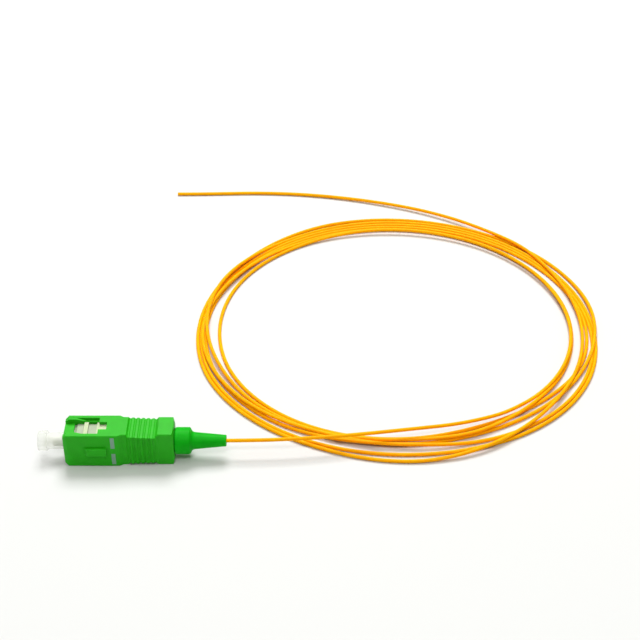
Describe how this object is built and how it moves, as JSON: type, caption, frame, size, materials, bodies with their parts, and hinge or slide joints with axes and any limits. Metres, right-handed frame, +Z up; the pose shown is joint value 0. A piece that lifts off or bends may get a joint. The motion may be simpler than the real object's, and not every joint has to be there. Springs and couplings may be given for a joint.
{
  "type": "fiber pigtail",
  "caption": "Square push-pull optical plug with an angled ferrule, dust cap and tapered boot, on thin buffered fibre that lies in a loose coil and ends bare",
  "frame": {"origin": "on the surface the plug lies on, under the plug's axis, half way along the coupling sleeve", "axes": "+X along the plug from its nose to the fibre, +Y away from the key side, +Z up from the surface it lies on"},
  "size_m": [0.1352, 0.1175, 0.009],
  "materials": {
    "sleeve_plastic": "moulded satin, bright green",
    "frame_plastic": "moulded, cream",
    "ceramic": "ground and polished ceramic",
    "plated_metal": "turned and plated",
    "spring_steel": "drawn wire",
    "stop_ring_metal": "turned",
    "tube_plastic": "extruded, white",
    "boot_rubber": "moulded satin, deeper green",
    "cap_plastic": "moulded, translucent white",
    "fibre_coating": "extruded satin, yellow-orange"
  },
  "bodies": {
    "plug": {"plug_frame": "frame_plastic", "stop_ring": "stop_ring_metal", "guide_tube": "tube_plastic", "buffered_fibre": "fibre_coating", "ferrule_spring": "spring_steel", "strain_relief_boot": "boot_rubber", "fibre_lead": "fibre_coating", "fibre_coil": "fibre_coating", "fibre_free_end": "fibre_coating"},
    "sleeve": {"coupling_sleeve": "sleeve_plastic"},
    "ferrule": {"ferrule": "ceramic", "ferrule_flange": "plated_metal"},
    "cap": {"dust_cap": "cap_plastic"}
  },
  "joints": [
    {"name": "sleeve_slide", "type": "slide", "parent": "plug", "child": "sleeve", "axis": [-1, 0, 0], "range_m": [0, 0.0022]},
    {"name": "ferrule_float", "type": "slide", "parent": "plug", "child": "ferrule", "axis": [1, 0, 0], "range_m": [0, 0.001], "stiffness_N_per_m": 2000, "springref_m": -0.004, "deforming": ["ferrule_spring", "buffered_fibre"]},
    {"name": "cap_pull", "type": "slide", "parent": "ferrule", "child": "cap", "axis": [-1, 0, 0], "range_m": [0, 0.01]}
  ]
}
